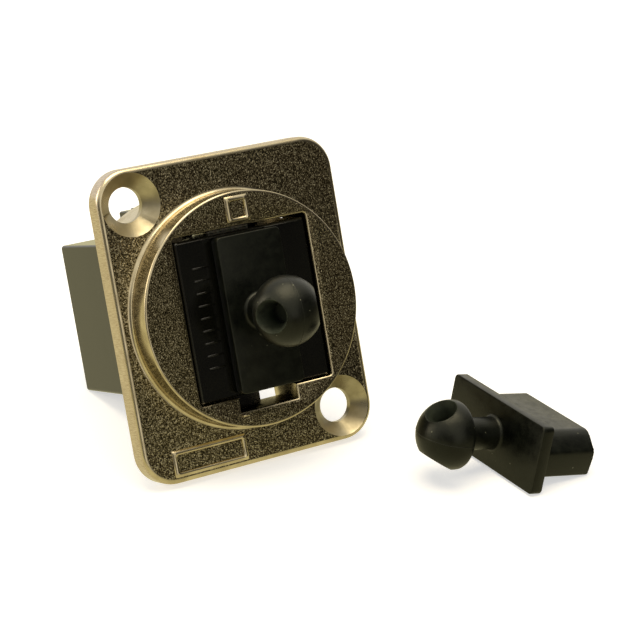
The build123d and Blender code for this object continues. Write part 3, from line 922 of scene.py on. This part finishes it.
# studio
studio = {
    "worldLight": 0.35,
    "lookWay": (1.4, -1.0, 0.1),           # towards the unlit room in front, to the right
    "darkFrom": 1.52, "brightFrom": 0.95, "darkLevel": 0.05,
    "shadeWay": (-0.75, -0.65, 0.05),      # a darker patch of the room to the left
    "shadeReach": (0.95, 0.76), "shadeLevel": 0.16,
    "mirrorTint": "FFFAEC",
    "floorColour": "F3F2EE",
    "floorSize": 3.0,                      # metres
    "paintedReflectionTint": "ECE3B2",
    "tableGlow": 0.55,
    "paintedReflectionWay": (-0.8, 1.0, 0.0),          # the painted reflection of the table as the part mirrors it: dim in front, bright behind
    "paintedReflectionFade": (-0.14, 0.03),            # metres along that way
    "paintedReflectionLevels": (0.22, 1.0),
    "lampTint": "FFF0D2",
    "lamps": {
        "overheadSoftbox": {"place": (0.0, -0.02, 0.5), "size": 0.4, "power": 1.8},
        "leftSoftbox": {"place": (-0.45, 0.25, 0.2), "size": 0.3, "power": 0.8},
    },
}
white = linearColour("FFFFFF")


def makeFloor():
    # plain to the camera but for a lift towards white; to reflections it glows with a painted reflection
    # that fades from front to back
    bpy.ops.object.select_all(action="DESELECT")
    bpy.ops.mesh.primitive_plane_add(size=studio["floorSize"], location=(0, 0, tableZ))
    floor = bpy.context.object
    floor.name = "floor"
    material, tree, shader = newMaterial("paleFloor", studio["floorColour"], Roughness=0.9)
    path = addNode(tree, "ShaderNodeLightPath", {})
    glow = addNode(tree, "ShaderNodeEmission", {"Color": white, "Strength": studio["tableGlow"]})
    lifted = addNode(tree, "ShaderNodeAddShader", {0: shader, 1: glow})
    place = addNode(tree, "ShaderNodeTexCoord", {})
    depth = addNode(tree, "ShaderNodeVectorMath", {0: place.outputs["Object"], 1: studio["paintedReflectionWay"]},
                    operation="DOT_PRODUCT")
    near, far = studio["paintedReflectionFade"]
    dim, bright = studio["paintedReflectionLevels"]
    fade = addNode(tree, "ShaderNodeMapRange", {"Value": depth.outputs["Value"], "From Min": near,
                                               "From Max": far, "To Min": dim, "To Max": bright},
                   interpolation_type="SMOOTHSTEP")
    # painted reflection: the floor glows for glossy rays only, in a warm tint whose strength is set by place
    mirrored = addNode(tree, "ShaderNodeEmission",
                       {"Color": linearColour(studio["paintedReflectionTint"]), "Strength": fade})
    seen = addNode(tree, "ShaderNodeMixShader", {0: path.outputs["Is Camera Ray"], 1: shader, 2: lifted})
    mix = addNode(tree, "ShaderNodeMixShader", {0: path.outputs["Is Glossy Ray"], 1: seen, 2: mirrored})
    setSockets(tree, tree.nodes["Material Output"], {"Surface": mix})
    floor.data.materials.append(material)


def makeWorld():
    # white all round to the camera; what mirrors it sees a dark room in front of the table
    world = bpy.data.worlds.new("studio")
    bpy.context.scene.world = world
    world.use_nodes = True
    tree = world.node_tree
    plain = tree.nodes["Background"]
    setSockets(tree, plain, {"Color": white, "Strength": studio["worldLight"]})
    path = addNode(tree, "ShaderNodeLightPath", {})
    way = addNode(tree, "ShaderNodeTexCoord", {})
    ahead = addNode(tree, "ShaderNodeVectorMath", {0: way, 1: studio["lookWay"]}, operation="DOT_PRODUCT")
    level = addNode(tree, "ShaderNodeMapRange",
                    {"Value": ahead.outputs["Value"], "From Min": studio["darkFrom"],
                     "From Max": studio["brightFrom"], "To Min": studio["darkLevel"], "To Max": 1.0},
                    interpolation_type="SMOOTHSTEP")
    aside = addNode(tree, "ShaderNodeVectorMath", {0: way, 1: studio["shadeWay"]}, operation="DOT_PRODUCT")
    inner, outer = studio["shadeReach"]
    shade = addNode(tree, "ShaderNodeMapRange",
                    {"Value": aside.outputs["Value"], "From Min": inner, "From Max": outer,
                     "To Min": studio["shadeLevel"], "To Max": 1.0}, interpolation_type="SMOOTHSTEP")
    strength = addNode(tree, "ShaderNodeMath", {0: level, 1: shade}, operation="MULTIPLY")
    mirrored = addNode(tree, "ShaderNodeBackground",
                       {"Color": linearColour(studio["mirrorTint"]), "Strength": strength})
    backdrop = addNode(tree, "ShaderNodeBackground", {"Color": white})
    glossy = addNode(tree, "ShaderNodeMixShader", {0: path.outputs["Is Glossy Ray"], 1: plain, 2: mirrored})
    seen = addNode(tree, "ShaderNodeMath",
                   {0: path.outputs["Is Camera Ray"], 1: path.outputs["Is Transmission Ray"]},
                   operation="MAXIMUM")
    mix = addNode(tree, "ShaderNodeMixShader", {0: seen, 1: glossy, 2: backdrop})
    setSockets(tree, tree.nodes["World Output"], {"Surface": mix})


def softbox(name, place, size, power):
    data = bpy.data.lights.new(name, "AREA")
    data.shape = "SQUARE"
    data.size = size
    data.energy = power
    data.color = linearColour(studio["lampTint"])[:3]
    lamp = bpy.data.objects.new(name, data)
    lamp.location = place
    lamp.rotation_euler = (-Vector(place)).to_track_quat("-Z", "Y").to_euler()
    bpy.context.scene.collection.objects.link(lamp)


makeFloor()
makeWorld()
for lampName, lampShape in studio["lamps"].items():
    softbox(lampName, **lampShape)
print("studio is lit")
